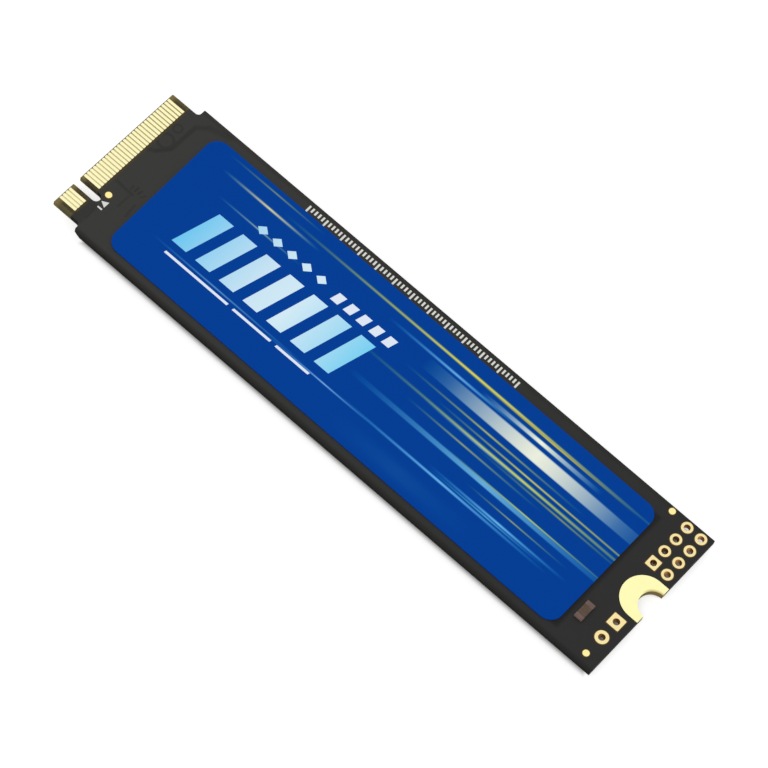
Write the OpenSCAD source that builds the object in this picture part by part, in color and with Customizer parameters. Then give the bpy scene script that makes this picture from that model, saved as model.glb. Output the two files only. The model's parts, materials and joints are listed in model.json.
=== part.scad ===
// Gumstick solid state drive: a bare circuit board card, 22 mm wide.
// A gold-fingered tongue is at the -X end and a half-round screw notch at the +X end.
// The printed label lies on the upper face. All chips hang from the lower face,
// so the card rests on its tallest chips, with Z = 0 at their tops.
// Places along the card are counted from the tongue's edge, and places across it
// from the middle line. Both are turned into X and Y by the two placing modules.

/* [Board] */
// Length of the card, from the tongue's edge to the screw end
board_l = 80; // [80:1:110]
// Width of the card
board_w = 22; // [22:0.5:26]
// Thickness of the bare board
board_t = 0.8; // [0.6:0.1:1.2]
// Thickness of the plated lands and of the contact fingers
land_t = 0.04; // [0.03:0.01:0.1]

/* [Tongue] */
// Length of the tongue, from its edge to the shoulders
tongue_l = 4.0; // [3.8:0.1:4.5]
// Step from the card's long edges in to the tongue's sides
shoulder_step = 1.075; // [0.8:0.005:1.3]
// Radius in the two inner corners of the shoulders
shoulder_r = 0.5; // [0.2:0.1:0.5]
// Slanted cut on the shoulder beside the short finger group: its length along the card
shoulder_cut_l = 0.9; // [0.3:0.1:1.2]
// The same cut's size across the card
shoulder_cut_w = 0.25; // [0.1:0.05:0.4]
// Bevel on both faces along the tongue's edge
edge_bevel = 0.12; // [0.05:0.01:0.2]
// Width of the key notch
key_w = 1.2; // [1.0:0.1:1.4]
// Depth of the key notch, to the bottom of its round end
key_depth = 3.5; // [2.8:0.1:3.5]
// Place of the key notch across the card
key_v = -6.125; // [-6.2:0.005:-6.05]
// Spacing of the contact fingers on one side
finger_pitch = 0.5; // [0.48:0.005:0.52]
// Width of one contact finger
finger_w = 0.35; // [0.25:0.01:0.4]
// Length of the fingers on the label side
finger_l_label = 2.38; // [1.5:0.01:2.6]
// Length of the fingers on the chip side
finger_l_chip = 2.0; // [1.5:0.1:2.6]

/* [Screw notch] */
// Radius of the half-round notch
notch_r = 1.75; // [1.5:0.05:2.0]
// Outer radius of the gold land round the notch
pad_r = 2.8; // [2.6:0.05:3.0]
// Distance of the land's round centre from the screw end
pad_inset = 1.28; // [1.0:0.02:1.5]

/* [Plated holes] */
// Radius of the finished holes of the header
header_hole_r = 0.4; // [0.3:0.05:0.45]
// Width of the header's lands
header_land = 1.4; // [1.3:0.02:1.6]
// Spacing of the header's holes
header_pitch = 2.0; // [1.8:0.1:2.1]
// Distance from the screw end to the header's last column
header_end_gap = 1.25; // [1.0:0.05:1.5]
// Distance from the long edge to the header's first row
header_edge_gap = 0.97; // [0.85:0.01:1.1]
// Radius of the finished holes of the jumper
jumper_hole_r = 0.425; // [0.3:0.025:0.5]
// Width of the jumper's lands
jumper_land = 1.64; // [1.5:0.02:1.9]
// Spacing of the jumper's two holes
jumper_pitch = 2.54; // [2.2:0.02:2.6]
// Distance from the screw end to the jumper's holes
jumper_end_gap = 1.72; // [1.2:0.02:2.0]
// Place of the jumper's square land across the card
jumper_v = -4.35; // [-4.6:0.05:-4.1]
// Thickness of the plating inside every hole
barrel_t = 0.05; // [0.03:0.01:0.1]
// Corner radius of the square lands
land_corner_r = 0.12; // [0.05:0.01:0.2]

/* [Label] */
// Distance from the tongue's edge to the label
label_start = 7.2; // [5.5:0.1:9]
// Distance from the label to the screw end
label_end_gap = 6.5; // [6.3:0.1:9]
// Bare margin between the label and the card's long edges
label_margin = 1.425; // [1.2:0.025:3]
// Shift of the label across the card
label_shift = -0.125; // [-0.2:0.005:0.2]
// Corner radius of the label
label_r = 1.7; // [0.5:0.1:3]
// How far the lower corner at the tongue's end lies in from the upper one
label_lean = 0.35; // [0:0.05:0.6]
// How much lower the upper edge runs out at the screw end
label_upper_drop = 0.225; // [0:0.025:0.4]
// How much lower the lower edge runs out at the screw end
label_lower_drop = 0.075; // [0:0.025:0.4]
// Thickness of the label with its glue
label_t = 0.15; // [0.05:0.01:0.3]

/* [Flash packages] */
// Size of a flash package along the card
flash_w = 12; // [11:0.1:12.5]
// Size of a flash package across the card
flash_l = 18; // [17.2:0.1:18.5]
// Height of the moulded body, without its substrate
flash_mould_h = 0.75; // [0.7:0.05:0.9]
// Gap between neighbouring flash packages
flash_gap = 0.8; // [0.3:0.05:0.9]
// Spacing of the solder balls
flash_ball_pitch = 1.0; // [0.8:0.05:1.02]
// Radius of a solder ball
flash_ball_r = 0.225; // [0.15:0.005:0.3]
// Height of a solder ball once melted
flash_ball_h = 0.25; // [0.15:0.01:0.3]

/* [Controller] */
// Size of the square controller package
controller_w = 12; // [11.6:0.1:12.5]
// Height of the moulded body, without its substrate
controller_mould_h = 0.65; // [0.5:0.05:0.75]
// Spacing of the solder balls
controller_ball_pitch = 0.65; // [0.55:0.01:0.66]
// Radius of a solder ball
controller_ball_r = 0.17; // [0.12:0.005:0.2]
// Height of a solder ball once melted
controller_ball_h = 0.2; // [0.12:0.01:0.25]

/* [Packages in general] */
// Thickness of the laminate under every moulded package with solder balls
substrate_t = 0.2; // [0.1:0.01:0.25]
// Radius of the round dimple that marks the first contact
dimple_r = 0.4; // [0.2:0.05:0.5]
// Depth of that dimple
dimple_depth = 0.05; // [0.03:0.01:0.1]
// Distance of the dimple's centre from both package sides
dimple_inset = 1.0; // [0.7:0.05:1.2]
// Gap left between neighbouring parts on the chip side
part_gap = 0.6; // [0.45:0.05:0.65]

/* [Power parts] */
// Size of the square power chip
power_w = 3; // [2.5:0.1:3.5]
// Height of the power chip
power_h = 0.75; // [0.5:0.05:0.9]
// Length of an inductor
inductor_l = 2.5; // [2:0.1:2.6]
// Width of an inductor
inductor_w = 2.0; // [1.6:0.1:2.1]
// Height of an inductor
inductor_h = 1.0; // [0.6:0.05:1.1]
// Length of a bulk capacitor
bulk_l = 2.0; // [1.6:0.1:2.1]
// Width of a bulk capacitor
bulk_w = 1.25; // [0.8:0.05:1.25]
// Height of a bulk capacitor
bulk_h = 0.85; // [0.5:0.05:1.1]

/* [Small parts] */
// Length of a small capacitor or resistor
chip_l = 1.0; // [0.8:0.05:1.05]
// Width of a small capacitor or resistor
chip_w = 0.5; // [0.3:0.05:0.55]
// Height of a small capacitor
capacitor_h = 0.5; // [0.3:0.05:0.55]
// Height of a resistor
resistor_h = 0.35; // [0.25:0.05:0.4]
// Share of a two-ended part's length that each metal end takes up
end_share = 0.24; // [0.15:0.01:0.3]
// Thickness by which the metal ends stand proud of the body
end_wrap = 0.02; // [0.01:0.01:0.05]
// Length of the chip part on the label side
marker_l = 2.5; // [2:0.1:3]
// Width of the chip part on the label side
marker_w = 1.1; // [0.8:0.05:1.25]
// Height of the chip part on the label side
marker_h = 0.35; // [0.25:0.05:0.8]
// Gap between the label and that chip part
marker_gap = 0.9; // [0.5:0.05:1.2]
// Place of that chip part across the card
marker_v = -5.9; // [-6.5:0.02:-5]

/* [Locating dots] */
// Diameter of the bare copper locating dots
dot_d = 0.8; // [0.6:0.05:1.0]
// Distance from the screw end to the dots beside the header
dot_far_gap = 5.71; // [5.3:0.01:6]
// Distance from the long edge to the dots beside the header
dot_edge_gap = 0.6; // [0.55:0.05:0.8]
// Distance from the screw end to the dot in the free corner
dot_corner_gap = 1.77; // [1.5:0.01:2]
// Distance from the long edge to the dot in the free corner
dot_corner_edge = 1.44; // [0.8:0.02:1.6]
// Gap between the key notch and the dot beside it
dot_key_gap = 0.15; // [0.1:0.05:0.3]

/* [Clock and memory] */
// Length of the clock crystal
crystal_l = 3.2; // [2.5:0.1:3.3]
// Width of the clock crystal
crystal_w = 2.5; // [2:0.1:2.6]
// Height of the crystal's ceramic base
crystal_base_h = 0.45; // [0.3:0.05:0.5]
// Height of the crystal's metal lid
crystal_lid_h = 0.25; // [0.1:0.05:0.3]
// Step from the ceramic base to its metal lid
crystal_step = 0.15; // [0.1:0.01:0.3]
// Length of the boot memory chip
memory_l = 3.0; // [2.5:0.1:3.1]
// Width of the boot memory chip
memory_w = 2.0; // [1.6:0.1:3]
// Height of the boot memory chip
memory_h = 0.55; // [0.4:0.05:0.8]
// Length of the regulator's body
regulator_l = 2.9; // [2.6:0.1:3]
// Width of the regulator's body
regulator_w = 1.6; // [1.4:0.1:1.8]
// Height of the regulator's body
regulator_h = 0.8; // [0.6:0.05:0.9]
// Reach of the regulator's bent leads beyond its body
lead_reach = 0.6; // [0.5:0.05:0.65]
// Thickness of a bent lead
lead_t = 0.13; // [0.1:0.01:0.16]

/* [Hidden] */
$fn = 48;
// Places for flash packages on the card
flash_places = 4;
// Slack by which cutting bodies pass the faces that they cut
cut = 0.2;

// The middle of the card lies at X = 0
mid_u = board_l / 2;
// The card is lifted so that its tallest chips just reach down to Z = 0
flash_h = flash_ball_h + substrate_t + flash_mould_h;
controller_h = controller_ball_h + substrate_t + controller_mould_h;
board_z = max(flash_h, controller_h, inductor_h, bulk_h);
top_z = board_z + board_t;

// The sizes that follow from the card's width
tongue_w = board_w - 2 * shoulder_step;
label_w = board_w - 2 * label_margin;

// Contacts are numbered along the tongue, odd ones on the chip side and even ones on
// the label side, half a finger spacing apart, with number 38 on the middle line.
contact_step = finger_pitch / 2;
middle_contact = 38;
label_side_contacts = concat([for (n = [2 : 2 : 58]) n], [for (n = [68 : 2 : 74]) n]);
chip_side_contacts = concat([for (n = [1 : 2 : 57]) n], [for (n = [67 : 2 : 75]) n]);
// First contacts of the four signal pairs that pass through capacitors
paired_contacts = [5, 17, 29, 41];
// Distance between the two capacitors of a pair
pair_pitch = 0.8;
// Gap from the shoulders to these capacitors
pair_gap = 1.1;

// Header holes: two columns, and as many rows as fit between the long edge and the screw land
header_land_gap = 0.4;
header_v0 = board_w / 2 - header_edge_gap;
header_room = header_v0 - pad_r - header_land_gap - header_land / 2;
header_cols = [for (i = [0 : 1]) board_l - header_end_gap - i * header_pitch];
header_rows = [for (i = [0 : floor(header_room / header_pitch)]) header_v0 - i * header_pitch];
// Bare dots: place along the card and place across it
dots_label_side = [
    [key_depth + dot_d / 3, key_v + key_w / 2 + dot_d / 2 + dot_key_gap],
    [board_l - dot_far_gap, board_w / 2 - dot_edge_gap],
    [board_l - dot_corner_gap, -board_w / 2 + dot_corner_edge]
];
dots_chip_side = [
    [tongue_l + dot_d, -board_w / 2 + dot_d],
    [board_l - dot_far_gap, board_w / 2 - dot_edge_gap]
];
// Chip part on the label side, between the label and the jumper
marker_u = board_l - label_end_gap + marker_gap + marker_w / 2;

// Rows along the card, each counted from the one before it
pair_u = tongue_l + pair_gap + chip_l / 2;
bulk_u = pair_u + chip_l / 2 + part_gap + bulk_w / 2;
controller_u = bulk_u + bulk_w / 2 + part_gap + controller_w / 2;
filter_u = controller_u + controller_w / 2 + part_gap + chip_w / 2;
// As many flash packages as fit before the pull-up resistors and the screw land
flash_start = filter_u + chip_w / 2 + part_gap;
flash_end = board_l - pad_inset - pad_r - chip_l - 2 * part_gap;
flash_pitch = flash_w + flash_gap;
flash_count = min(flash_places, floor((flash_end - flash_start + flash_gap) / flash_pitch));
flash_u = [for (i = [0 : flash_count - 1]) flash_start + flash_w / 2 + i * flash_pitch];
pull_up_u = flash_u[flash_count - 1] + flash_w / 2 + part_gap + chip_l / 2;

// Bulk capacitors stand across the card, from both long edges inwards
edge_margin = 0.8;
bulk_v0 = board_w / 2 - edge_margin - bulk_l / 2;
input_coil_v = -bulk_v0 + bulk_l / 2 + part_gap + inductor_l / 2;
bulk_places = concat(
    [for (i = [0 : 2]) [bulk_u, bulk_v0 - i * (bulk_l + part_gap)]],
    [[bulk_u, -bulk_v0], [bulk_u, input_coil_v + inductor_l / 2 + part_gap + bulk_l / 2]]
);

// Solder joints of the leadless chips: length beyond the body, width, height, spacing
joint_reach = 0.15;
joint_w = 0.25;
joint_h = 0.2;
joint_pitch = 0.5;
power_joints_per_side = 6;
memory_joints_per_side = 4;

// Parts beside the controller lie midway between it and the long edges: power parts on
// the +Y side, clock, memory and regulator on the other
beside_v = (controller_w + board_w) / 4;
controller_start = controller_u - controller_w / 2;
controller_end = controller_u + controller_w / 2;
// Each inductor: place along, place across, turn
inductor_places = [
    [controller_start + inductor_l / 2, beside_v, 0],
    [controller_start + inductor_l * 1.5 + part_gap, beside_v, 0],
    [bulk_u + bulk_w / 2 - inductor_w / 2, input_coil_v, 90]
];
power_u = controller_end - power_w / 2;
crystal_u = controller_start + crystal_l / 2;
memory_u = crystal_u + crystal_l / 2 + part_gap + memory_l / 2;
regulator_u = controller_end - regulator_w / 2;

// Small capacitors line both long sides of the flash packages, four on each side
edge_cap_v = (flash_l + board_w) / 4;
edge_cap_pitch = 2.6;
edge_cap_steps = [-1.5, -0.5, 0.5, 1.5];
// Resistors: a column between controller and flash, and one before the header
filter_steps = [-2.5, -1.5, -0.5, 0.5, 1.5, 2.5];
pull_up_steps = [-1.5, -0.5, 0.5, 1.5];
resistor_pitch = 2.2;

// Bent leads of the regulator: width and spacing
lead_w = 0.4;
lead_pitch = 0.95;
lead_steps_a = [-1, 0, 1];
lead_steps_b = [-1, 1];

// Ball grids: half-counts along and across, and what each grid leaves empty
flash_cols = 5;
flash_rows = 8;
flash_empty_cols = 1;
controller_grid = 18;
controller_void = 6;

// Places children on the upper face, standing up from it
module on_label_side(u, v, turn = 0) {
    translate([u - mid_u, v, top_z]) rotate([0, 0, turn]) children();
}

// Places children on the lower face, hanging down from it
module on_chip_side(u, v, turn = 0) {
    translate([u - mid_u, v, board_z]) mirror([0, 0, 1]) rotate([0, 0, turn]) children();
}

// A block centred on the origin and standing on Z = 0
module block(l, w, h) {
    translate([-l / 2, -w / 2, 0]) cube([l, w, h]);
}

// A flat rectangle with four round corners, centred on the origin
module round_rect(l, w, r) {
    square([l - 2 * r, w], center = true);
    square([l, w - 2 * r], center = true);
    for (x = [-1, 1])
        for (y = [-1, 1])
            translate([x * (l / 2 - r), y * (w / 2 - r)]) circle(r);
}

function contact_v(n) = (middle_contact - n) * contact_step;

// The material that rounds an inner corner
module inner_corner(r) {
    difference() {
        square(r);
        translate([r, r]) circle(r);
    }
}

// Outline of the card in its own plane, the tongue's edge at zero
module board_outline() {
    difference() {
        union() {
            translate([tongue_l, -board_w / 2]) square([board_l - tongue_l, board_w]);
            translate([0, -tongue_w / 2]) square([tongue_l + cut, tongue_w]);
            for (side = [-1, 1])
                translate([tongue_l, side * tongue_w / 2])
                    mirror([1, 0]) mirror([0, side < 0 ? 1 : 0]) inner_corner(shoulder_r);
        }
        key_notch();
        translate([board_l, 0]) circle(notch_r);
        shoulder_corner();
    }
}

module key_notch() {
    translate([-cut, key_v - key_w / 2]) square([key_depth - key_w / 2 + cut, key_w]);
    translate([key_depth - key_w / 2, key_v]) circle(key_w / 2);
}

module shoulder_corner() {
    translate([tongue_l, -board_w / 2])
        polygon([
            [-cut, -cut], [shoulder_cut_l, -cut], [shoulder_cut_l, 0],
            [0, shoulder_cut_w], [-cut, shoulder_cut_w]
        ]);
}

// Wedges that bevel both faces along the tongue's edge
module tongue_bevels() {
    for (z = [0, board_t])
        translate([0, 0, z]) rotate([0, 45, 0])
            cube([edge_bevel * sqrt(2), board_w, edge_bevel * sqrt(2)], center = true);
}

module header_holes() {
    for (u = header_cols)
        for (v = header_rows)
            translate([u, v]) children();
}

module jumper_holes() {
    for (i = [0 : 1])
        translate([board_l - jumper_end_gap, jumper_v - i * jumper_pitch]) children();
}

module circuit_board() {
    color([0.16, 0.16, 0.15])
    translate([-mid_u, 0, board_z])
    difference() {
        linear_extrude(board_t) board_outline();
        tongue_bevels();
        header_holes() translate([0, 0, -cut]) cylinder(h = board_t + 2 * cut, r = header_hole_r + barrel_t);
        jumper_holes() translate([0, 0, -cut]) cylinder(h = board_t + 2 * cut, r = jumper_hole_r + barrel_t);
    }
}

// The sticker, cut a little out of square: its corner rounds are placed one by one
module label() {
    left = label_start + label_r;
    right = board_l - label_end_gap - label_r;
    half = label_w / 2 - label_r;
    corners = [
        [left, half], [right, half - label_upper_drop],
        [right, -half - label_lower_drop], [left + label_lean, -half]];
    color([0.02, 0.25, 0.58])
    on_label_side(0, label_shift)
        linear_extrude(label_t) hull() for (place = corners) translate(place) circle(label_r);
}

// One finger, from the bevel inwards
module finger(length) {
    translate([0, -finger_w / 2, 0]) cube([length, finger_w, land_t]);
}

module contact_fingers_label_side() {
    color([0.93, 0.80, 0.48])
    for (n = label_side_contacts)
        on_label_side(edge_bevel, contact_v(n)) finger(finger_l_label);
}

module contact_fingers_chip_side() {
    color([0.93, 0.80, 0.48])
    for (n = chip_side_contacts)
        on_chip_side(edge_bevel, contact_v(n)) finger(finger_l_chip);
}

// Land round the screw notch, with straight tails to the end of the card
module screw_pad() {
    linear_extrude(land_t)
    difference() {
        union() {
            translate([-pad_inset, 0]) circle(pad_r);
            translate([-pad_inset, -pad_r]) square([pad_inset, 2 * pad_r]);
        }
        circle(notch_r);
        translate([0, -board_w / 2]) square(board_w);
    }
}

module screw_pad_label_side() {
    color([0.93, 0.80, 0.48]) on_label_side(board_l, 0) screw_pad();
}

module screw_pad_chip_side() {
    color([0.93, 0.80, 0.48]) on_chip_side(board_l, 0) screw_pad();
}

// Plated hole: a barrel through the board with a land on each face
module eyelet(hole_r, land_w, square_land) {
    difference() {
        union() {
            cylinder(h = board_t, r = hole_r + barrel_t);
            for (z = [-land_t, board_t])
                translate([0, 0, z]) linear_extrude(land_t)
                    if (square_land) round_rect(land_w, land_w, land_corner_r);
                    else circle(land_w / 2);
        }
        translate([0, 0, -cut]) cylinder(h = board_t + 2 * cut, r = hole_r);
    }
}

module board_header_eyelets() {
    color([0.93, 0.80, 0.48])
    translate([-mid_u, 0, board_z])
    for (u = header_cols)
        for (v = header_rows)
            translate([u, v, 0])
                eyelet(header_hole_r, header_land, u == header_cols[1] && v == min(header_rows));
}

module board_jumper_eyelets() {
    color([0.93, 0.80, 0.48])
    translate([-mid_u, 0, board_z])
    for (i = [0 : 1])
        translate([board_l - jumper_end_gap, jumper_v - i * jumper_pitch, 0])
            eyelet(jumper_hole_r, jumper_land, i == 0);
}

module locating_dots_label_side() {
    color([0.93, 0.80, 0.48])
    for (place = dots_label_side)
        on_label_side(place[0], place[1]) cylinder(h = land_t, r = dot_d / 2);
}

module locating_dots_chip_side() {
    color([0.93, 0.80, 0.48])
    for (place = dots_chip_side)
        on_chip_side(place[0], place[1]) cylinder(h = land_t, r = dot_d / 2);
}

// Body of a two-ended part, between its metal ends
module chip_body(l, w, h) {
    translate([0, 0, end_wrap]) block(l * (1 - 2 * end_share), w - 2 * end_wrap, h - 2 * end_wrap);
}

// The two metal ends of such a part
module chip_ends(l, w, h) {
    for (side = [-1, 1])
        translate([side * l * (1 - end_share) / 2, 0, 0]) block(l * end_share, w, h);
}

module marker_body() {
    color([0.36, 0.31, 0.27]) on_label_side(marker_u, marker_v, 90) chip_body(marker_l, marker_w, marker_h);
}

module marker_ends() {
    color([0.60, 0.55, 0.54]) on_label_side(marker_u, marker_v, 90) chip_ends(marker_l, marker_w, marker_h);
}

// Moulded block of a package, dimpled beside its first contact
module mould(l, w, base, h) {
    difference() {
        translate([0, 0, base]) block(l, w, h);
        translate([dimple_inset - l / 2, w / 2 - dimple_inset, base + h - dimple_depth])
            cylinder(h = dimple_depth + cut, r = dimple_r);
    }
}

module controller_mould() {
    color([0.10, 0.10, 0.11]) on_chip_side(controller_u, 0)
        mould(controller_w, controller_w, controller_ball_h + substrate_t, controller_mould_h);
}

module controller_substrate() {
    color([0.10, 0.22, 0.14]) on_chip_side(controller_u, 0)
        translate([0, 0, controller_ball_h]) block(controller_w, controller_w, substrate_t);
}

// Full grid with an empty square in its middle
module controller_balls() {
    last = (controller_grid - 1) / 2;
    empty = controller_void / 2;
    color([0.75, 0.75, 0.77]) on_chip_side(controller_u, 0)
        for (i = [-last : last])
            for (j = [-last : last])
                if (abs(i) > empty || abs(j) > empty)
                    translate([i * controller_ball_pitch, j * controller_ball_pitch, 0])
                        cylinder(h = controller_ball_h, r = controller_ball_r);
}

module flash_mould(i) {
    if (i < flash_count)
        color([0.10, 0.10, 0.11]) on_chip_side(flash_u[i], 0)
            mould(flash_w, flash_l, flash_ball_h + substrate_t, flash_mould_h);
}

module flash_substrates() {
    color([0.10, 0.22, 0.14])
    for (u = flash_u)
        on_chip_side(u, 0) translate([0, 0, flash_ball_h]) block(flash_w, flash_l, substrate_t);
}

// Two fields of balls, without the middle columns and the four outermost corners
module flash_balls(i) {
    if (i < flash_count)
        color([0.75, 0.75, 0.77]) on_chip_side(flash_u[i], 0)
            for (col = [-flash_cols : flash_cols])
                for (row = [-flash_rows : flash_rows])
                    if (abs(col) > flash_empty_cols && abs(col) + abs(row) < flash_cols + flash_rows)
                        translate([col * flash_ball_pitch, row * flash_ball_pitch, 0])
                            cylinder(h = flash_ball_h, r = flash_ball_r);
}

// Row of solder joints that hug one side of a leadless chip
module joint_row(side_distance, count) {
    for (i = [0 : count - 1])
        translate([side_distance + joint_reach / 2, (i - (count - 1) / 2) * joint_pitch, 0])
            block(joint_reach, joint_w, joint_h);
}

module power_chip_body() {
    color([0.10, 0.10, 0.11]) on_chip_side(power_u, beside_v) mould(power_w, power_w, 0, power_h);
}

module power_chip_joints() {
    color([0.75, 0.75, 0.77]) on_chip_side(power_u, beside_v)
        for (turn = [0 : 90 : 270])
            rotate([0, 0, turn]) joint_row(power_w / 2, power_joints_per_side);
}

module inductor_bodies() {
    color([0.30, 0.30, 0.32])
    for (place = inductor_places)
        on_chip_side(place[0], place[1], place[2]) chip_body(inductor_l, inductor_w, inductor_h);
}

module inductor_ends() {
    color([0.75, 0.75, 0.77])
    for (place = inductor_places)
        on_chip_side(place[0], place[1], place[2]) chip_ends(inductor_l, inductor_w, inductor_h);
}

module bulk_capacitor_bodies() {
    color([0.55, 0.42, 0.30])
    for (place = bulk_places)
        on_chip_side(place[0], place[1], 90) chip_body(bulk_l, bulk_w, bulk_h);
}

module bulk_capacitor_ends() {
    color([0.75, 0.75, 0.77])
    for (place = bulk_places)
        on_chip_side(place[0], place[1], 90) chip_ends(bulk_l, bulk_w, bulk_h);
}

// Places every small capacitor: in the signal pairs and along the flash packages
module small_capacitor_places() {
    for (n = paired_contacts)
        for (side = [-0.5, 0.5])
            on_chip_side(pair_u, contact_v(n + 1) + side * pair_pitch) children();
    for (u = flash_u)
        for (step = edge_cap_steps)
            for (side = [-1, 1])
                on_chip_side(u + step * edge_cap_pitch, side * edge_cap_v) children();
}

module small_capacitor_bodies() {
    color([0.62, 0.48, 0.34]) small_capacitor_places() chip_body(chip_l, chip_w, capacitor_h);
}

module small_capacitor_ends() {
    color([0.75, 0.75, 0.77]) small_capacitor_places() chip_ends(chip_l, chip_w, capacitor_h);
}

module resistor_places() {
    for (step = filter_steps)
        on_chip_side(filter_u, step * resistor_pitch, 90) children();
    for (step = pull_up_steps)
        on_chip_side(pull_up_u, step * resistor_pitch) children();
}

module resistor_bodies() {
    color([0.08, 0.08, 0.09]) resistor_places() chip_body(chip_l, chip_w, resistor_h);
}

module resistor_ends() {
    color([0.75, 0.75, 0.77]) resistor_places() chip_ends(chip_l, chip_w, resistor_h);
}

module crystal_base() {
    color([0.75, 0.68, 0.55]) on_chip_side(crystal_u, -beside_v) block(crystal_l, crystal_w, crystal_base_h);
}

module crystal_lid() {
    color([0.80, 0.79, 0.75]) on_chip_side(crystal_u, -beside_v)
        translate([0, 0, crystal_base_h])
            linear_extrude(crystal_lid_h)
                round_rect(crystal_l - 2 * crystal_step, crystal_w - 2 * crystal_step, crystal_step);
}

module memory_chip_body() {
    color([0.10, 0.10, 0.11]) on_chip_side(memory_u, -beside_v) block(memory_l, memory_w, memory_h);
}

module memory_chip_joints() {
    color([0.75, 0.75, 0.77]) on_chip_side(memory_u, -beside_v)
        for (turn = [90, 270])
            rotate([0, 0, turn]) joint_row(memory_w / 2, memory_joints_per_side);
}

module regulator_body() {
    color([0.10, 0.10, 0.11]) on_chip_side(regulator_u, -beside_v, 90)
        translate([0, 0, lead_t / 2]) block(regulator_l, regulator_w, regulator_h);
}

// Side profile of a bent lead: out of the body, down, and out again as a foot
module bent_lead() {
    shelf = regulator_h / 2;
    knee = lead_reach * 0.35;
    foot = lead_reach;
    translate([lead_w / 2, 0, 0]) rotate([90, 0, -90]) mirror([1, 0, 0])
        linear_extrude(lead_w)
            polygon([
                [0, shelf], [knee - lead_t, shelf], [knee, 0], [foot, 0], [foot, lead_t],
                [knee + lead_t, lead_t], [knee, shelf + lead_t], [0, shelf + lead_t]
            ]);
}

module regulator_leads() {
    color([0.75, 0.75, 0.77]) on_chip_side(regulator_u, -beside_v, 90) {
        for (step = lead_steps_a)
            translate([step * lead_pitch, regulator_w / 2, 0]) bent_lead();
        for (step = lead_steps_b)
            translate([step * lead_pitch, -regulator_w / 2, 0]) mirror([0, 1, 0]) bent_lead();
    }
}

circuit_board();
label();
contact_fingers_label_side();
contact_fingers_chip_side();
screw_pad_label_side();
screw_pad_chip_side();
board_header_eyelets();
board_jumper_eyelets();
locating_dots_label_side();
locating_dots_chip_side();
marker_body();
marker_ends();
controller_mould();
controller_substrate();
controller_balls();
flash_mould(0);  // flash_mould_1
flash_mould(1);  // flash_mould_2
flash_mould(2);  // flash_mould_3
flash_mould(3);  // flash_mould_4
flash_substrates();
flash_balls(0);  // flash_balls_1
flash_balls(1);  // flash_balls_2
flash_balls(2);  // flash_balls_3
flash_balls(3);  // flash_balls_4
power_chip_body();
power_chip_joints();
inductor_bodies();
inductor_ends();
bulk_capacitor_bodies();
bulk_capacitor_ends();
small_capacitor_bodies();
small_capacitor_ends();
resistor_bodies();
resistor_ends();
crystal_base();
crystal_lid();
memory_chip_body();
memory_chip_joints();
regulator_body();
regulator_leads();
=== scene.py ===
# %% [markdown]
# A gumstick solid state drive is a bare circuit card. One face carries a printed film
# label, the other carries the chips, and gold-plated copper shows at both ends.
# The card's solids come in ready and at their true place, so this lesson mostly dresses
# them. Every finish is a procedural material. What a lens would find too plain, such as
# melted solder, fired chip ends, printed ink and copper under the mask, is worked out with
# numpy as pieces of its own.

import json
import math

import bmesh
import bpy
import numpy as np
from mathutils import Matrix, Vector


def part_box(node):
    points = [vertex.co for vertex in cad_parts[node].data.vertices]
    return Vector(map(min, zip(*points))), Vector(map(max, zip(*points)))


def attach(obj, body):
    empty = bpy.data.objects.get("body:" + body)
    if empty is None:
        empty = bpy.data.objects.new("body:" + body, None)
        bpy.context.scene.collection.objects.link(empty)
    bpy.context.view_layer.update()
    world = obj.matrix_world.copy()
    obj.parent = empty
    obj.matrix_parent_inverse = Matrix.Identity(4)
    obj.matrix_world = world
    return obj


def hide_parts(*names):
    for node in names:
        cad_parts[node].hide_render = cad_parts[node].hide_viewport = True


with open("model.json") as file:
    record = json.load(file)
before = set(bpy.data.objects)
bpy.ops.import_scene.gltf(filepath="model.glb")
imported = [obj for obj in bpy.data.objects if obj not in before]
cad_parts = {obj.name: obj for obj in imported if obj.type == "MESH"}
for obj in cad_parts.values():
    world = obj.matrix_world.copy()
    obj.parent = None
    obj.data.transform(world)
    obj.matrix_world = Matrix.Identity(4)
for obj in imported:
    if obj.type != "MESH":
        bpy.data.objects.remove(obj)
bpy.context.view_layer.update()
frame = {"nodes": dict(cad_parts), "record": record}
MM = 0.001

board_low, board_high = (np.array(corner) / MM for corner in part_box("circuit_board"))
label_low, label_high = (np.array(corner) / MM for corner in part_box("label"))
EDGE_X = board_low[0]
SIDE_Y = board_high[1]
TOP_Z = board_high[2]
UNDER_Z = board_low[2]
LABEL_Z = label_high[2]
print("nodes", len(frame["nodes"]), "card in mm", np.round(board_high - board_low, 2))


# %% [markdown]
# Colours are given as sRGB hex values, the way a paint card gives them. Blender's
# shaders work in linear light, so one function turns the first into the second.
# A second small function adds a shader node with its settings and its links. With a few
# more for sums, ramps, mixes and noise, each material below is short enough to read as a
# recipe.

# %% Colour and node helpers
def linear(hex_colour):
    """sRGB hex to linear RGBA: c / 12.92 below 0.04045, else ((c + 0.055) / 1.055) to the power 2.4."""
    raw = [int(hex_colour[i:i + 2], 16) / 255 for i in (1, 3, 5)]
    return [c / 12.92 if c <= 0.04045 else ((c + 0.055) / 1.055) ** 2.4 for c in raw] + [1.0]


def add(tree, kind, sockets=None, **settings):
    """Adds one shader node. A socket's value is a number or colour, or another node's output to link."""
    made = tree.nodes.new("ShaderNode" + kind)
    for name, value in settings.items():
        setattr(made, name, value)
    for name, value in (sockets or {}).items():
        if isinstance(value, bpy.types.NodeSocket):
            tree.links.new(value, made.inputs[name])
        else:
            made.inputs[name].default_value = value
    return made


def maths(tree, operation, first, second=0.0):
    """One Math node's result."""
    return add(tree, "Math", {0: first, 1: second}, operation=operation).outputs[0]


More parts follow.
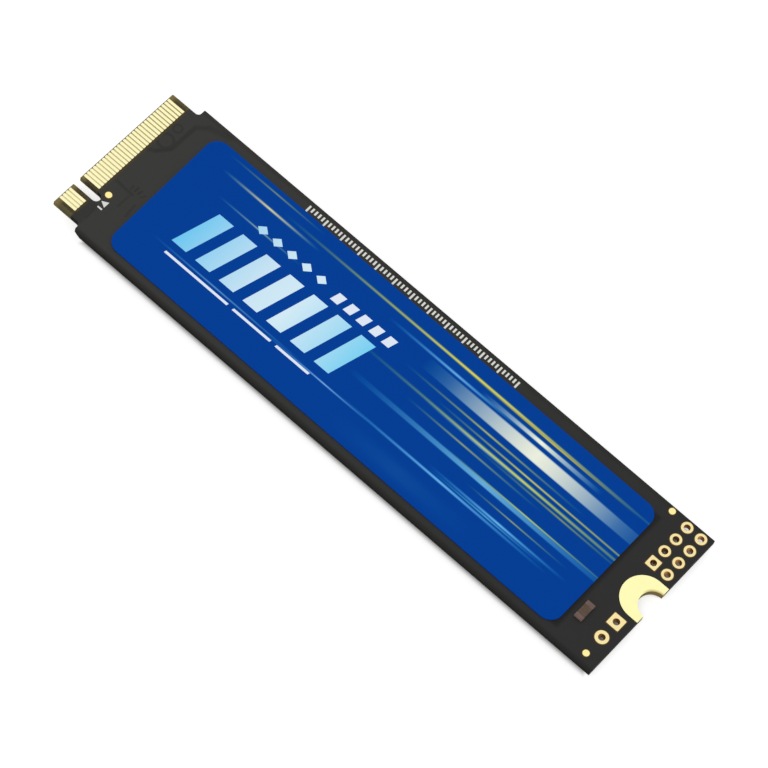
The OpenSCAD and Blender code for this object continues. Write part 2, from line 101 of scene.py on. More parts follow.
def ramp(tree, value, start, end, kind="SMOOTHSTEP"):
    """0 at start and 1 at end, with a smooth step or a straight line between."""
    sockets = {"Value": value, "From Min": start, "From Max": end}
    return add(tree, "MapRange", sockets, interpolation_type=kind).outputs["Result"]


def mix(tree, share, first, second):
    """Two colours, each a list or another node's output, mixed by share."""
    return add(tree, "Mix", {0: share, 6: first, 7: second}, data_type="RGBA").outputs[2]


def product(tree, first, *others):
    """All the values multiplied, from left to right."""
    for other in others:
        first = maths(tree, "MULTIPLY", first, other)
    return first


def outermost(tree, operation, first, *others):
    """The largest or the smallest of all the values: operation is MAXIMUM or MINIMUM."""
    for other in others:
        first = maths(tree, operation, first, other)
    return first


def noise(tree, coords, size_mm, detail=2.0):
    """Soft noise from 0 to 1 whose lumps are about size_mm across."""
    sockets = {"Vector": coords, "Scale": 1 / (size_mm * MM), "Detail": detail}
    return add(tree, "TexNoise", sockets).outputs["Fac"]


def new_material(name, hex_colour, roughness, metallic=0.0, specular=0.5):
    """A Principled material and what a recipe needs of it: tree, shader and Object coordinates."""
    made = bpy.data.materials.new(name)
    made.use_nodes = True
    tree = made.node_tree
    shader = tree.nodes["Principled BSDF"]
    shader.inputs["Base Color"].default_value = linear(hex_colour)
    shader.inputs["Roughness"].default_value = roughness
    shader.inputs["Metallic"].default_value = metallic
    shader.inputs["Specular IOR Level"].default_value = specular
    return made, tree, shader, add(tree, "TexCoord").outputs["Object"]


def bump(tree, shader, height, depth_mm):
    """Feeds a height from 0 to 1 into the shader's normal as a relief of depth_mm."""
    made = add(tree, "Bump", {"Height": height, "Distance": depth_mm * MM})
    tree.links.new(made.outputs["Normal"], shader.inputs["Normal"])


def vary(tree, shader, socket, amount, low, high):
    """Lets a 0 to 1 pattern carry one number of the shader between low and high."""
    made = add(tree, "MapRange", {"Value": amount, "To Min": low, "To Max": high})
    tree.links.new(made.outputs["Result"], shader.inputs[socket])


def place_mm(tree, coords):
    """X, Y and Z of a point in millimetres, as three outputs."""
    scaled = add(tree, "VectorMath", {0: coords, 3: 1 / MM}, operation="SCALE").outputs[0]
    split = add(tree, "SeparateXYZ", {0: scaled})
    return [split.outputs[axis] for axis in "XYZ"]


def notch_distance(tree, x, y):
    """Distance in millimetres from the middle of the screw notch: root of (x - notch)^2 + y^2."""
    along = maths(tree, "POWER", maths(tree, "ADD", x, EDGE_X), 2.0)
    return maths(tree, "SQRT", maths(tree, "ADD", along, maths(tree, "POWER", y, 2.0)))


# %% [markdown]
# The photograph was taken with a long lens from high above one long edge. The view is
# given here as a photographer would note it: where the lens points on the card, how far
# off it stands, its turn, height and tilt, and its focal length on a 36 mm wide frame.

# %% Camera
AIM_MM = (1.271, -0.648, 2.0)
DISTANCE_MM = 482.79
AZIMUTH = math.radians(23.854)
ELEVATION = math.radians(61.842)
TILT = math.radians(19.116)
FOCAL_MM = 204.38

towards = Vector((math.sin(AZIMUTH) * math.cos(ELEVATION), -math.cos(AZIMUTH) * math.cos(ELEVATION),
                  math.sin(ELEVATION)))
level = Vector((0, 0, 1)).cross(towards).normalized()
rise = towards.cross(level)
right = math.cos(TILT) * level + math.sin(TILT) * rise
upward = math.cos(TILT) * rise - math.sin(TILT) * level
spot = (Vector(AIM_MM) + DISTANCE_MM * towards) * MM

camera_data = bpy.data.cameras.new("camera")
camera_data.lens = FOCAL_MM
camera_data.sensor_width = 36
camera_data.clip_start = 0.01
camera = bpy.data.objects.new("camera", camera_data)
camera.matrix_world = Matrix.Translation(spot) @ Matrix((right, upward, towards)).transposed().to_4x4()
bpy.context.collection.objects.link(camera)
bpy.context.scene.camera = camera
print("camera at", [round(c / MM, 1) for c in spot], "mm")


# %% [markdown]
# Product shots of flat glossy things are lit by a tent: soft light from all round, with
# one larger soft lamp for direction. The world gives the tent. What the camera and the
# metal see of it is plain white, set through Light Path, while the light that falls on
# the card is lower, so that a colour renders about as it is written.
# The paper sweep glows a little for the lens only, so that it reads as white and still
# takes a soft shadow. Under the card itself, and so through most of its holes, the glow is
# left out: a painted shadow, in from each edge of the card by the lengths below.

# %% Light and floor
bpy.context.scene.view_settings.view_transform = "Standard"
TENT_LIGHT = 0.72
LAMP_WATTS = 4.6
PAPER_GLOW = 0.60
FLOOR_HALF = 3.0
FLOOR_GAP_MM = 0.02
LAMP_SIZE = 0.5
LAMP_AT = (0.02, -0.60, 1.08)
DARK_IN_FROM_TONGUE_MM = 5
DARK_IN_FROM_SCREW_END_MM = 0.6
DARK_IN_FROM_SIDES_MM = 0.1
DARK_IN_FROM_NOTCH_MM = 2.3

world = bpy.data.worlds.new("tent")
world.use_nodes = True
bpy.context.scene.world = world
sky = world.node_tree
path = add(sky, "LightPath")
rays = [path.outputs[f"Is {kind} Ray"] for kind in ("Camera", "Glossy", "Transmission")]
seen = outermost(sky, "MAXIMUM", *rays)
strength = add(sky, "MapRange", {"Value": seen, "To Min": TENT_LIGHT, "To Max": 1.0}).outputs["Result"]
backdrop = sky.nodes["Background"]
backdrop.inputs["Color"].default_value = (1, 1, 1, 1)
sky.links.new(strength, backdrop.inputs["Strength"])

lamp_data = bpy.data.lights.new("key_lamp", "AREA")
lamp_data.size = LAMP_SIZE
lamp_data.energy = LAMP_WATTS
lamp = bpy.data.objects.new("key_lamp", lamp_data)
lamp.location = LAMP_AT
lamp.rotation_euler = (-lamp.location).to_track_quat("-Z", "Y").to_euler()
bpy.context.collection.objects.link(lamp)

floor_mesh = bpy.data.meshes.new("floor")
corners = [(-FLOOR_HALF, -FLOOR_HALF, 0), (FLOOR_HALF, -FLOOR_HALF, 0), (FLOOR_HALF, FLOOR_HALF, 0),
           (-FLOOR_HALF, FLOOR_HALF, 0)]
floor_mesh.from_pydata(corners, [], [(0, 1, 2, 3)])
floor = bpy.data.objects.new("floor", floor_mesh)
floor.location = (0, 0, -FLOOR_GAP_MM * MM)
bpy.context.collection.objects.link(floor)

paper, tree, shader, coords = new_material("white_paper_sweep", "#C4C4C4", 0.9, specular=0.0)
x, y, _ = place_mm(tree, coords)
# Painted shadow: the glow fades out over the card's footprint, shrunk by the lengths above.
shadow_footprint = outermost(
    tree, "MINIMUM",
    maths(tree, "SUBTRACT", -EDGE_X - DARK_IN_FROM_SCREW_END_MM, x),
    maths(tree, "SUBTRACT", x, EDGE_X + DARK_IN_FROM_TONGUE_MM),
    maths(tree, "SUBTRACT", SIDE_Y - DARK_IN_FROM_SIDES_MM, maths(tree, "ABSOLUTE", y)),
    maths(tree, "SUBTRACT", notch_distance(tree, x, y), DARK_IN_FROM_NOTCH_MM))
path = add(tree, "LightPath")
seen = maths(tree, "MAXIMUM", path.outputs["Is Camera Ray"], path.outputs["Is Glossy Ray"])
glow = product(tree, seen, ramp(tree, shadow_footprint, 0.6, -0.3), PAPER_GLOW)
shader.inputs["Emission Color"].default_value = (1, 1, 1, 1)
tree.links.new(glow, shader.inputs["Emission Strength"])
floor_mesh.materials.append(paper)
print("world", TENT_LIGHT, "lamp", LAMP_WATTS, "W")


# %% [markdown]
# The board is glass-epoxy laminate under a black solder mask: a thin baked resin with a
# faint orange-peel skin. Where a copper plane lies under the mask the black reads a
# little lighter, and where copper is left out it is a touch deeper: round lands under the
# mask, and along the gaps between planes. Such gaps are given as a list of straight
# stretches, each dark along its middle and soft to both sides.
# The tongue's contact zone and the milled edges have no mask, so there the olive-brown
# laminate shows, with its woven glass. It is lighter along the tongue's milled edge and
# sides, and lightest between the fingers, where it takes the gold's light.
# Beside the label's right end the mask looks darker: the label's edge keeps light off it.
# Along the card's -y long edge the mask is painted darker as well: painted shade.

# %% Board material
BARE_END_MM = 2.62
BARE_PAST_FINGERS_MM = 0.16
ZONE_SOFT_MM = 0.10
GAP_SPAN_MM = (0.24, 2.42)
GAP_TONE_SPAN_MM = (9.0, -9.0)
LIP_SPAN_MM = (0.18, 0.12)
MILLED_EDGE_MM = (1.1, 0.15)
TONGUE_SIDE_MM = (1.60, 1.15)
NOTCH_WALL_MM = (2.2, 2.0)
MASK_SPAN_MM = (5.0, 76.0)
RIM_MM = 0.55
PLANE_INSET_MM = 0.55
PLANE_SOFT_MM = 0.15
CLOUD_MM = 5.0
WEAVE_MM = 0.45
PEEL_MM = 0.35
HALF_BOARD = (TOP_Z - UNDER_Z) / 2
FINGER_ROWS = ((-9.05, -7.40), (-5.05, 9.10))
# Stretches without copper under the mask, in u and v: start, end, half width, softness, depth of tone
LEFT_OUT = [
    ((8.4, 10.35), (6.0, 9.7), 0.20, 0.40, 0.25), ((6.0, 9.7), (4.75, 8.5), 0.12, 0.35, 0.32),
    ((4.75, 8.5), (4.72, 4.5), 0.10, 0.32, 0.38), ((4.72, 4.5), (3.6, 3.05), 0.10, 0.32, 0.40),
    ((3.6, 3.05), (2.9, 2.6), 0.10, 0.30, 0.30), ((3.2, -2.95), (5.6, -3.05), 0.06, 0.25, 0.32),
    ((5.45, -3.5), (5.45, -5.3), 0.04, 0.18, 0.28), ((6.7, -3.8), (6.9, -5.6), 0.05, 0.20, 0.28),
    ((3.85, -7.4), (3.95, -8.9), 0.04, 0.16, 0.36), ((3.3, -7.4), (3.3, -9.8), 0.50, 0.40, 0.26),
    ((5.0, -2.6), (4.95, -2.1), 0.05, 0.16, 0.30), ((5.5, -2.5), (5.5, -1.9), 0.05, 0.16, 0.38),
    ((6.0, -2.5), (6.1, -1.95), 0.05, 0.16, 0.38), ((6.5, -2.6), (6.75, -2.15), 0.05, 0.16, 0.30),
]
# Round lands under the mask, each with a gap round it: u, v, radius of the gap, half width, softness, depth
TENTED = [(3.52, 4.85, 0.95, 0.05, 0.22, 0.34), (3.45, 7.0, 0.52, 0.04, 0.20, 0.30)]


def stretch(tree, spot, start, end, half, soft):
    """1 along a straight stretch and 0 past its half width and softness, by distance to the point of it
    that lies nearest: along = clamp(away . direction, 0, length)."""
    run = np.subtract(end, start)
    length = float(np.linalg.norm(run))
    ahead = (*map(float, run / length), 0.0)
    away = add(tree, "VectorMath", {0: spot, 1: (*start, 0.0)}, operation="SUBTRACT").outputs[0]
    along = add(tree, "VectorMath", {0: away, 1: ahead}, operation="DOT_PRODUCT").outputs["Value"]
    along = add(tree, "Clamp", {"Value": along, "Min": 0.0, "Max": length}).outputs[0]
    nearest = add(tree, "VectorMath", {0: ahead, 3: along}, operation="SCALE").outputs[0]
    off = add(tree, "VectorMath", {0: away, 1: nearest}, operation="DISTANCE").outputs["Value"]
    return ramp(tree, off, half + soft, half)


def left_out(tree, from_edge, y):
    """How much darker the mask reads on the label side where copper is left out: the deepest of all
    stretches and of the gaps round all lands."""
    spot = add(tree, "CombineXYZ", {0: from_edge, 1: y}).outputs[0]
    depths = [product(tree, stretch(tree, spot, start, end, half, soft), depth)
              for start, end, half, soft, depth in LEFT_OUT]
    for u, v, radius, half, soft, depth in TENTED:
        away = add(tree, "VectorMath", {0: spot, 1: (u, v, 0.0)}, operation="DISTANCE").outputs["Value"]
        off = maths(tree, "ABSOLUTE", maths(tree, "SUBTRACT", away, radius))
        depths.append(product(tree, ramp(tree, off, half + soft, half), depth))
    return outermost(tree, "MAXIMUM", *depths)


def between(tree, value, low, high, soft):
    """1 between two values of a coordinate and 0 outside, with soft ends."""
    return product(tree, ramp(tree, value, low - soft, low), ramp(tree, value, high + soft, high))


def board_material():
    """Mask over copper, mask over bare glass, and unmasked laminate, by place on the card."""
    made, tree, shader, coords = new_material("black_solder_mask", "#303030", 0.5, specular=0.10)
    x, y, z = place_mm(tree, coords)
    from_edge = maths(tree, "SUBTRACT", x, EDGE_X)
    to_side = maths(tree, "SUBTRACT", SIDE_Y, maths(tree, "ABSOLUTE", y))
    upper = maths(tree, "GREATER_THAN", z, TOP_Z - HALF_BOARD)

    plane = ramp(tree, to_side, PLANE_INSET_MM - PLANE_SOFT_MM, PLANE_INSET_MM + PLANE_SOFT_MM)
    along = ramp(tree, from_edge, *MASK_SPAN_MM, "LINEAR")
    over_copper = mix(tree, along, linear("#353533"), linear("#282828"))
    over_glass = mix(tree, along, linear("#302F2D"), linear("#242524"))
    mask = mix(tree, plane, over_glass, over_copper)
    mask = mix(tree, product(tree, noise(tree, coords, CLOUD_MM), 0.22), mask, linear("#3A3835"))
    gaps = product(tree, left_out(tree, from_edge, y), upper)
    # Painted shade: the mask darkens towards the card's -y long edge, and only there.
    rim_shade = product(tree, ramp(tree, y, RIM_MM - SIDE_Y, -SIDE_Y), 0.75)
    shaded = product(tree, between(tree, x, label_high[0] - 1.0, label_high[0] + 0.15, 0.6),
                     between(tree, y, label_low[1] + 0.6, label_high[1] - 0.8, 0.6), upper, 0.85)
    darker = outermost(tree, "MAXIMUM", gaps, rim_shade, shaded)
    mask = mix(tree, darker, mask, linear("#1A1A19"))

    waves = {"Vector": coords, "Scale": math.pi / 10 / (WEAVE_MM * MM)}
    weft = add(tree, "TexWave", waves, bands_direction="X").outputs["Fac"]
    warp = add(tree, "TexWave", waves, bands_direction="Y").outputs["Fac"]
    cloth = product(tree, weft, warp, 0.35)
    glass = mix(tree, ramp(tree, to_side, *TONGUE_SIDE_MM), linear("#403824"), linear("#554F33"))
    glass = mix(tree, ramp(tree, from_edge, *MILLED_EDGE_MM), glass, linear("#7A6D42"))
    glass = mix(tree, cloth, glass, linear("#6E5C36"))
    rows = outermost(tree, "MAXIMUM", *(between(tree, y, low, high, 0.1) for low, high in FINGER_ROWS))
    in_gap = product(tree, rows, between(tree, from_edge, *GAP_SPAN_MM, 0.06))
    gap_tone = mix(tree, ramp(tree, y, *GAP_TONE_SPAN_MM, "LINEAR"), linear("#A89E60"), linear("#E4DC9C"))
    glass = mix(tree, in_gap, glass, gap_tone)
    lip = product(tree, rows, ramp(tree, from_edge, *LIP_SPAN_MM))
    glass = mix(tree, lip, glass, linear("#3A3218"))
    bare_end = maths(tree, "ADD", product(tree, rows, BARE_PAST_FINGERS_MM), BARE_END_MM)
    zone = ramp(tree, maths(tree, "SUBTRACT", from_edge, bare_end), ZONE_SOFT_MM, -ZONE_SOFT_MM)

    off_middle = maths(tree, "ABSOLUTE", maths(tree, "SUBTRACT", z, TOP_Z - HALF_BOARD))
    wall = ramp(tree, off_middle, HALF_BOARD - 0.01, HALF_BOARD - 0.03)
    cut = mix(tree, noise(tree, coords, 0.25), linear("#0B0B0A"), linear("#1D1C18"))
    cut = mix(tree, ramp(tree, notch_distance(tree, x, y), *NOTCH_WALL_MM), cut, linear("#84724C"))
    masked_wall = product(tree, wall, maths(tree, "SUBTRACT", 1.0, zone))
    shade = mix(tree, masked_wall, mix(tree, zone, mask, glass), cut)
    tree.links.new(shade, shader.inputs["Base Color"])
    vary(tree, shader, "Specular IOR Level", wall, 0.10, 0.02)
    peel = noise(tree, coords, PEEL_MM, 3.0)
    vary(tree, shader, "Roughness", peel, 0.42, 0.60)
    bump(tree, shader, peel, 0.006)
    return made


# %% [markdown]
# Contact fingers are copper with nickel and hard gold plated on, so they are bright and
# slightly grained from the plating bath and from insertion. Lands and eyelets have the
# thinner, softer looking immersion gold. Gold keeps the metal's default IOR: its look is
# only its colour and how rough it is. On the flanks of a land, and down in a hole, the
# plating is thinner and the warmer copper comes through. Along the screw notch's rim, on
# its +y side, the land is painted a duller gold: painted shade on that rim. Drilled lands
# and locating dots read a shade warmer than fingers do.

# %% Gold
NOTCH_RIM_SHADE_MM = (2.10, 1.75)
UPPER_RIM_MM = (0.2, 1.2)


def gold_material(name, hex_colour, deep_hex, roughness, grain_mm, flank_hex="#8A6229"):
    """Plated gold: two tones by a soft noise, warmer where the surface doesn't face up or down."""
    made, tree, shader, coords = new_material(name, hex_colour, roughness, 1.0)
    tone = mix(tree, product(tree, noise(tree, coords, 0.8), 0.5), linear(hex_colour), linear(deep_hex))
    facing = add(tree, "SeparateXYZ", {0: add(tree, "TexCoord").outputs["Normal"]}).outputs["Z"]
    flat = ramp(tree, maths(tree, "ABSOLUTE", facing), 0.3, 0.9)
    x, y, _ = place_mm(tree, coords)
    # Painted shade: a duller gold along the screw notch's rim, on its +y side only.
    rim_shade = ramp(tree, notch_distance(tree, x, y), *NOTCH_RIM_SHADE_MM)
    rim_shade = product(tree, rim_shade, ramp(tree, y, *UPPER_RIM_MM), 0.8)
    tone = mix(tree, rim_shade, tone, linear("#B5A45E"))
    tree.links.new(mix(tree, flat, linear(flank_hex), tone), shader.inputs["Base Color"])
    grain = noise(tree, coords, grain_mm, 3.0)
    vary(tree, shader, "Roughness", grain, roughness - 0.07, roughness + 0.07)
    bump(tree, shader, grain, 0.003)
    return made


# %% [markdown]
# The label is a polyester film printed in a deep blue, with streaks of light running along
# it. A streak is brightest at one point and fades evenly to both ends, and it is soft
# across. The print is described by a short list of such streaks, and all of it is turned a
# fifth of a degree, as a hand-laid label is. Ink densities add up in display values, so the
# streaks are mixed there and turned to linear light at the end.

# %% Printed label
BLUE = "#024094"
PRINT_TURN = 0.0033
# Each streak: place across, half width, softness, start, brightest, end, colour, strength
STREAKS = [
    (8.63, 0.03, 0.15, 9.8, 17.1, 24.5, "#F3D656", 0.45),
    (7.42, 0.00, 0.29, 19.2, 47.8, 72.4, "#F0D036", 0.90),
    (7.37, 0.09, 0.11, 19.6, 54.2, 80.3, "#FFFF80", 0.40),
    (7.19, 0.00, 0.17, 44.4, 59.6, 72.3, "#F4CB30", 0.89),
    (6.62, 0.00, 0.28, 10.6, 17.7, 25.3, "#FFE6A0", 0.90),
    (5.99, 0.02, 0.26, 36.2, 46.3, 56.2, "#8FD0FA", 0.74),
    (6.37, 0.14, 0.24, 49.7, 58.5, 67.4, "#FFFFE3", 0.97),
    (4.72, 0.86, 0.05, 46.4, 59.4, 71.0, "#EAE7D2", 0.59),
    (4.71, 0.70, 0.20, 42.7, 59.1, 76.1, "#FFFFE6", 0.85),
    (3.73, 0.00, 0.20, 12.5, 18.5, 25.0, "#F6EDB4", 0.55),
    (2.94, 0.00, 0.23, 41.3, 53.7, 68.0, "#F8E056", 0.70),
    (2.02, 0.00, 0.22, 46.7, 59.9, 98.0, "#FAE254", 0.81),
    (1.28, 0.00, 0.31, 35.0, 60.0, 83.1, "#F4EB58", 0.84),
    (1.12, 0.09, 0.16, 45.5, 53.9, 62.2, "#F6FFD8", 0.36),
    (0.71, 0.00, 0.23, 53.1, 66.0, 75.8, "#F8D848", 0.51),
    (-0.11, 0.00, 0.23, 44.1, 52.4, 64.1, "#F7E064", 0.58),
    (-2.07, 0.19, 0.24, 37.3, 57.2, 78.0, "#8CD4F3", 0.73),
    (-1.72, 0.01, 0.15, 50.9, 63.2, 77.3, "#FFFB4C", 0.68),
    (-3.36, 0.01, 0.16, 55.8, 62.4, 70.5, "#F4E060", 0.57),
    (-4.62, 0.04, 0.21, 51.2, 61.5, 71.3, "#86D1FF", 0.77),
    (-4.96, 0.00, 0.20, 51.4, 59.8, 68.3, "#63AFDD", 0.86),
    (-5.26, 0.00, 0.18, 10.4, 20.0, 34.0, "#B9DCF4", 0.50),
    (-5.39, 0.04, 0.22, 37.9, 53.5, 69.2, "#86CEFF", 0.78),
    (-5.51, 0.05, 0.10, 27.3, 36.5, 43.2, "#7FB0E8", 0.85),
    (-7.89, 0.22, 1.30, 39.3, 49.5, 60.3, "#F4DAF6", 0.06),
]


def display(hex_colour):
    """sRGB hex as display values from 0 to 1, not yet turned to linear light."""
    return [int(hex_colour[i:i + 2], 16) / 255 for i in (1, 3, 5)] + [1.0]


def streaked(tree, coords, ground):
    """Lays every streak over the ground colour. Its share is the product of a line rising from start to
    brightest, a line falling from there to the end, and a smooth step out from its half width."""
    x, y, _ = place_mm(tree, coords)
    along = maths(tree, "SUBTRACT", x, EDGE_X)
    y = maths(tree, "ADD", y, product(tree, x, PRINT_TURN))
    colour = ground
    for middle, half, soft, start, brightest, end, hex_colour, force in STREAKS:
        off = maths(tree, "ABSOLUTE", maths(tree, "SUBTRACT", y, middle))
        across = ramp(tree, off, half + soft, half)
        share = product(tree, ramp(tree, along, start, brightest, "LINEAR"),
                        ramp(tree, along, end, brightest, "LINEAR"), across, force)
        colour = mix(tree, share, colour, display(hex_colour))
    return add(tree, "Gamma", {"Color": colour, "Gamma": 2.2}).outputs["Color"]


def label_material():
    """Satin film: blue ground with a very slight mottle, the streaks, and a fine-grained surface."""
    made, tree, shader, coords = new_material("printed_polyester_film", BLUE, 0.42, specular=0.03)
    cloud = product(tree, noise(tree, coords, 9.0), 0.08)
    ground = mix(tree, cloud, display(BLUE), display("#0A479F"))
    tree.links.new(streaked(tree, coords, ground), shader.inputs["Base Color"])
    vary(tree, shader, "Roughness", noise(tree, coords, 0.12), 0.38, 0.48)
    bump(tree, shader, noise(tree, coords, 1.6, 3.0), 0.004)
    return made


# %% [markdown]
# The rest of the parts bin: moulded epoxy for packages, green laminate under them, tin
# and solder on every end, fired ceramic for capacitors, pressed ferrite for inductors.

# %% Finishes
def mottled(name, hex_colour, other_hex, share, roughness, grain_mm, depth_mm, metallic=0.0, specular=0.4):
    """A finish of two tones, with its grain in roughness and bump."""
    made, tree, shader, coords = new_material(name, hex_colour, roughness, metallic, specular)
    grain = noise(tree, coords, grain_mm, 3.0)
    tone = mix(tree, product(tree, grain, share), linear(hex_colour), linear(other_hex))
    tree.links.new(tone, shader.inputs["Base Color"])
    vary(tree, shader, "Roughness", grain, roughness - 0.08, roughness + 0.08)
    bump(tree, shader, grain, depth_mm)
    return made


finishes = {
    "board": board_material(),
    "label": label_material(),
    "contact_gold": gold_material("hard_gold_plate", "#FFFACA", "#FAECB2", 0.28, 0.10),
    "land_gold": gold_material("immersion_gold", "#FFFDBC", "#FAECA8", 0.34, 0.14),
    "dot_gold": gold_material("immersion_gold_dot", "#FFF4A8", "#F2DE94", 0.34, 0.14),
    "eyelet_gold": gold_material("immersion_gold_eyelet", "#F7E7AA", "#ECD496", 0.36, 0.14, "#D2924A"),
    "dull_ceramic": mottled("dull_brown_ceramic", "#4A3D33", "#6E5B4E", 0.8, 0.6, 0.35, 0.010, specular=0.1),
    "dull_tin": mottled("dull_tin", "#5D4A44", "#7A6660", 0.8, 0.6, 0.30, 0.010, specular=0.1),
    "mould_compound": mottled("moulded_epoxy", "#1D1D1F", "#303033", 0.6, 0.55, 0.08, 0.006),
    "package_laminate": mottled("green_laminate", "#1C3A28", "#2B5238", 0.5, 0.5, 0.20, 0.006),
    "solder": mottled("tin_solder", "#C9C9CC", "#A9A9AE", 0.5, 0.28, 0.20, 0.010, 1.0),
    "tinned_lead": mottled("tinned_copper_lead", "#C6C6C4", "#A0A09C", 0.5, 0.32, 0.10, 0.004, 1.0),
    "ferrite": mottled("pressed_ferrite", "#4A4A4D", "#5E5E60", 0.7, 0.7, 0.10, 0.012),
    "brown_ceramic": mottled("brown_fired_ceramic", "#8A6748", "#A27C58", 0.5, 0.45, 0.12, 0.004),
    "tan_ceramic": mottled("tan_fired_ceramic", "#A5825C", "#B8946C", 0.5, 0.42, 0.10, 0.004),
    "resistor_glass": mottled("black_resistor_glass", "#141416", "#232326", 0.5, 0.25, 0.15, 0.003),
    "tin_end": mottled("tinned_end", "#C2C2C3", "#96969A", 0.5, 0.34, 0.12, 0.006, 1.0),
    "crystal_ceramic": mottled("pale_fired_ceramic", "#B7A987", "#CBBE9E", 0.5, 0.6, 0.12, 0.005),
    "crystal_metal": mottled("plated_lid", "#D2D0C6", "#B4B2A8", 0.4, 0.26, 0.20, 0.002, 1.0),
}
slots = {part["node"]: part["material_slot"] for part in frame["record"]["subparts"]}
finer = {"board_header_eyelets": "eyelet_gold", "board_jumper_eyelets": "eyelet_gold",
         "locating_dots_label_side": "dot_gold", "locating_dots_chip_side": "dot_gold"}
for name, node in frame["nodes"].items():
    node.data.materials.clear()
    node.data.materials.append(finishes[finer.get(name, slots[name])])
print(len(finishes), "finishes on", len(slots), "nodes")


# %% [markdown]
# Every piece made from here on is a closed mesh in millimetres, given as arrays of corners
# and faces, and placed at the origin of the card's own frame. Pieces that stand for solids
# of the card read their places from those solids, so they can't drift from them.

# %% Mesh helpers
def mesh_piece(name, points, faces, material, smooth=False):
    """An object at the origin from points in millimetres and lists of corner numbers, with its faces
    turned outward."""
    mesh = bpy.data.meshes.new(name)
    mesh.from_pydata((np.asarray(points) * MM).tolist(), [], [list(map(int, face)) for face in faces])
    shape = bmesh.new()
    shape.from_mesh(mesh)
    bmesh.ops.recalc_face_normals(shape, faces=shape.faces)
    shape.to_mesh(mesh)
    shape.free()
    mesh.materials.append(material)
    mesh.polygons.foreach_set("use_smooth", np.full(len(mesh.polygons), smooth))
    piece = bpy.data.objects.new(name, mesh)
    bpy.context.collection.objects.link(piece)
    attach(piece, "root")
    return piece


def soften(piece, width_mm):
    """Rounds every sharp edge of a piece."""
    rounding = piece.modifiers.new("rounding", "BEVEL")
    rounding.width = width_mm * MM
    rounding.segments = 3
    rounding.limit_method = "ANGLE"
    rounding.harden_normals = True
    piece.data.polygons.foreach_set("use_smooth", np.full(len(piece.data.polygons), True))
    return piece


def stand_in(piece, node):
    """Hides one node, so that the piece shows in its place."""
    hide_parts(node)
    return piece


def merged_copy(node):
    """Corners in millimetres and faces of a node's mesh, with its doubled corners merged and its flat
    faces joined."""
    source = frame["nodes"][node]
    shape = bmesh.new()
    shape.from_mesh(source.data)
    shape.transform(source.matrix_world)
    bmesh.ops.remove_doubles(shape, verts=shape.verts, dist=0.0005 * MM)
    bmesh.ops.dissolve_limit(shape, angle_limit=math.radians(1), verts=shape.verts, edges=shape.edges)
    mesh = bpy.data.meshes.new("merged")
    shape.to_mesh(mesh)
    shape.free()
    points = np.empty(3 * len(mesh.vertices), np.float32)
    mesh.vertices.foreach_get("co", points)
    faces = [list(face.vertices) for face in mesh.polygons]
    bpy.data.meshes.remove(mesh)
    return points.reshape(-1, 3).astype(float) / MM, faces


def solids_of(node):
    """Lowest and highest corners in millimetres of each separate solid of a node, as an array (n, 2, 3).
    Joined corners take the smallest number among them, over and over, until nothing changes."""
    points, faces = merged_copy(node)
    first = np.concatenate([np.array(face) for face in faces])
    after = np.concatenate([np.roll(face, -1) for face in faces])
    number = np.arange(len(points))
    while True:
        lower = number.copy()
        np.minimum.at(lower, first, number[after])
        np.minimum.at(lower, after, number[first])
        lower = lower[lower]
        if np.array_equal(lower, number):
            break
        number = lower
    _, which = np.unique(number, return_inverse=True)
    boxes = np.full((which.max() + 1, 2, 3), [[[np.inf] * 3, [-np.inf] * 3]])
    np.minimum.at(boxes[:, 0], which, points)
    np.maximum.at(boxes[:, 1], which, points)
    return boxes


def blocks(name, boxes, material):
    """Plain blocks from (n, 2, 3) low and high corners: eight corners and six faces each."""
    pick = np.array([[i & 1, i >> 1 & 1, i >> 2] for i in range(8)])
    points = np.where(pick[None], boxes[:, None, 1], boxes[:, None, 0]).reshape(-1, 3)
    sides = np.array([[0, 2, 3, 1], [4, 5, 7, 6], [0, 1, 5, 4], [2, 6, 7, 3], [0, 4, 6, 2], [1, 3, 7, 5]])
    faces = (sides + 8 * np.arange(len(boxes))[:, None, None]).reshape(-1, 4)
    return mesh_piece(name, points, faces, material)


def stacks(name, rings, material, smooth=True):
    """Closed solids from rings of points, an array (n, levels, round, 3). Each level joins the next with
    one face per ring corner, and the first and last rings are closed with one face each."""
    count, levels, around, _ = rings.shape
    grid = np.arange(count * levels * around).reshape(count, levels, around)
    here, over = grid[:, :-1], grid[:, 1:]
    sides = np.stack([here, np.roll(here, -1, 2), np.roll(over, -1, 2), over], -1).reshape(-1, 4)
    ends = np.concatenate([grid[:, 0], grid[:, -1]])
    return mesh_piece(name, rings.reshape(-1, 3), list(sides) + list(ends), material, smooth)


def prisms(name, outlines, base_z, thickness, material):
    """Closed flat prisms over outlines of corners: each outline at the base and at base plus thickness."""
    points, faces = [], []
    for outline in outlines:
        first, count = len(points), len(outline)
        for z in (base_z, base_z + thickness):
            points += [(x, y, z) for x, y in outline]
        ring = np.arange(count)
        after = (ring + 1) % count
        faces += [first + ring, first + count + ring]
        faces += list(first + np.stack([ring, after, after + count, ring + count], 1))
    return mesh_piece(name, points, faces, material)


def bar(u, v, width, height, lean=0.0):
    """Four corners of a bar that leans, from its lower left corner, u counted from the tongue's edge."""
    x = u + EDGE_X
    return [(x, v), (x + width, v), (x + width + lean, v + height), (x + lean, v + height)]


